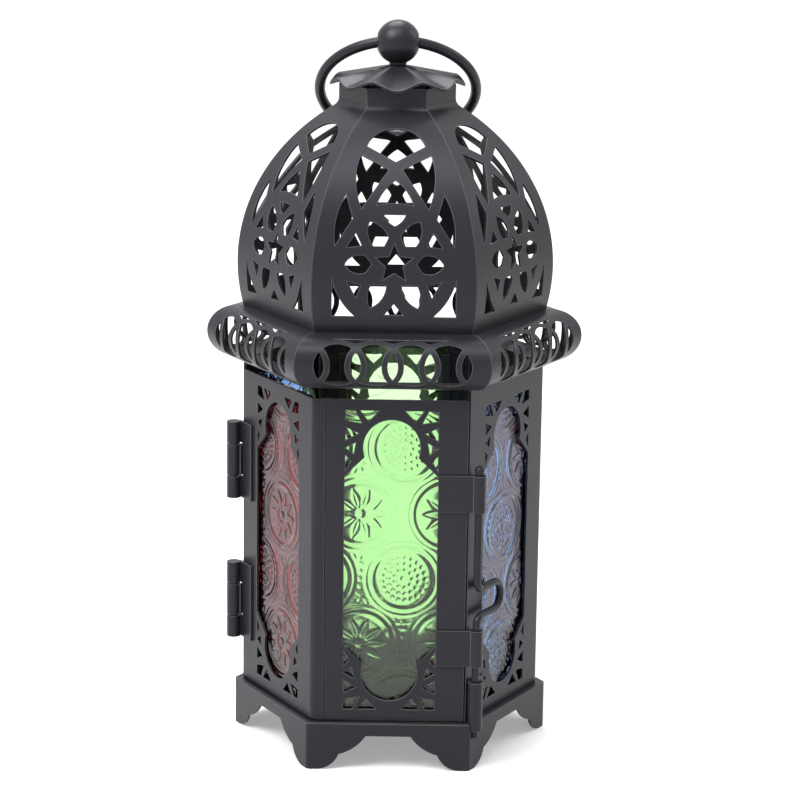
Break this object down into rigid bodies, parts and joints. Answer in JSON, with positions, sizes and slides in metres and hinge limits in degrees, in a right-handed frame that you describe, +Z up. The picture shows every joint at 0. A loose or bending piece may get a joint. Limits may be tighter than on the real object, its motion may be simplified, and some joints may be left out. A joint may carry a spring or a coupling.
{
  "type": "candle lantern",
  "caption": "Hexagonal pierced-metal candle lantern with coloured pressed-glass panes, a latched corner door, a domed top and a hanging ring.",
  "frame": {"origin": "on the table under the middle of the hexagonal base", "axes": "+Z up, the latch side of the door faces -Y, the hinge corner points to -X"},
  "size_m": [0.1144, 0.099, 0.2206],
  "materials": {
    "black_coat": "satin",
    "glass_green": "pressed",
    "glass_red": "pressed",
    "glass_blue": "pressed"
  },
  "bodies": {
    "lantern": {"base_skirt": "black_coat", "floor_plate": "black_coat", "candle_cup": "black_coat", "cup_rivet": "black_coat", "wall_right": "black_coat", "wall_back_right": "black_coat", "wall_back": "black_coat", "wall_back_left": "black_coat", "pane_right": "glass_blue", "pane_back_right": "glass_red", "pane_back": "glass_green", "pane_back_left": "glass_blue", "pane_holder_right": "black_coat", "pane_holder_back_right": "black_coat", "pane_holder_back": "black_coat", "pane_holder_back_left": "black_coat", "hinge_leaf_wall_lower": "black_coat", "hinge_leaf_wall_upper": "black_coat", "hinge_pin_lower": "black_coat", "hinge_pin_upper": "black_coat", "latch_keeper": "black_coat", "rim_front": "black_coat", "rim_right": "black_coat", "rim_back_right": "black_coat", "rim_back": "black_coat", "rim_back_left": "black_coat", "rim_left": "black_coat", "dome_gore_front": "black_coat", "dome_gore_right": "black_coat", "dome_gore_back_right": "black_coat", "dome_gore_back": "black_coat", "dome_gore_back_left": "black_coat", "dome_gore_left": "black_coat", "cap": "black_coat", "cap_bridge": "black_coat", "finial": "black_coat", "finial_nut": "black_coat"},
    "door": {"door_side_panel": "black_coat", "door_front_panel": "black_coat", "pane_front": "glass_green", "pane_left": "glass_red", "pane_holder_front": "black_coat", "pane_holder_left": "black_coat", "hinge_leaf_door_lower": "black_coat", "hinge_leaf_door_upper": "black_coat", "latch_strap_lower": "black_coat", "latch_strap_upper": "black_coat"},
    "latch_rod": {"latch_rod": "black_coat"},
    "hanging_ring": {"hanging_ring": "black_coat"}
  },
  "joints": [
    {"name": "door_hinge", "type": "hinge", "parent": "lantern", "child": "door", "pos_m": [-0.04894, 0, 0.06], "axis": [0, 0, -1], "range_deg": [0, 180]},
    {"name": "latch_slide", "type": "slide", "parent": "door", "child": "latch_rod", "axis": [0, 0, 1], "range_m": [0, 0.02]},
    {"name": "ring_swing", "type": "hinge", "parent": "lantern", "child": "hanging_ring", "pos_m": [0, 0, 0.21399], "axis": [1, 0, 0], "range_deg": [0, 267]}
  ]
}
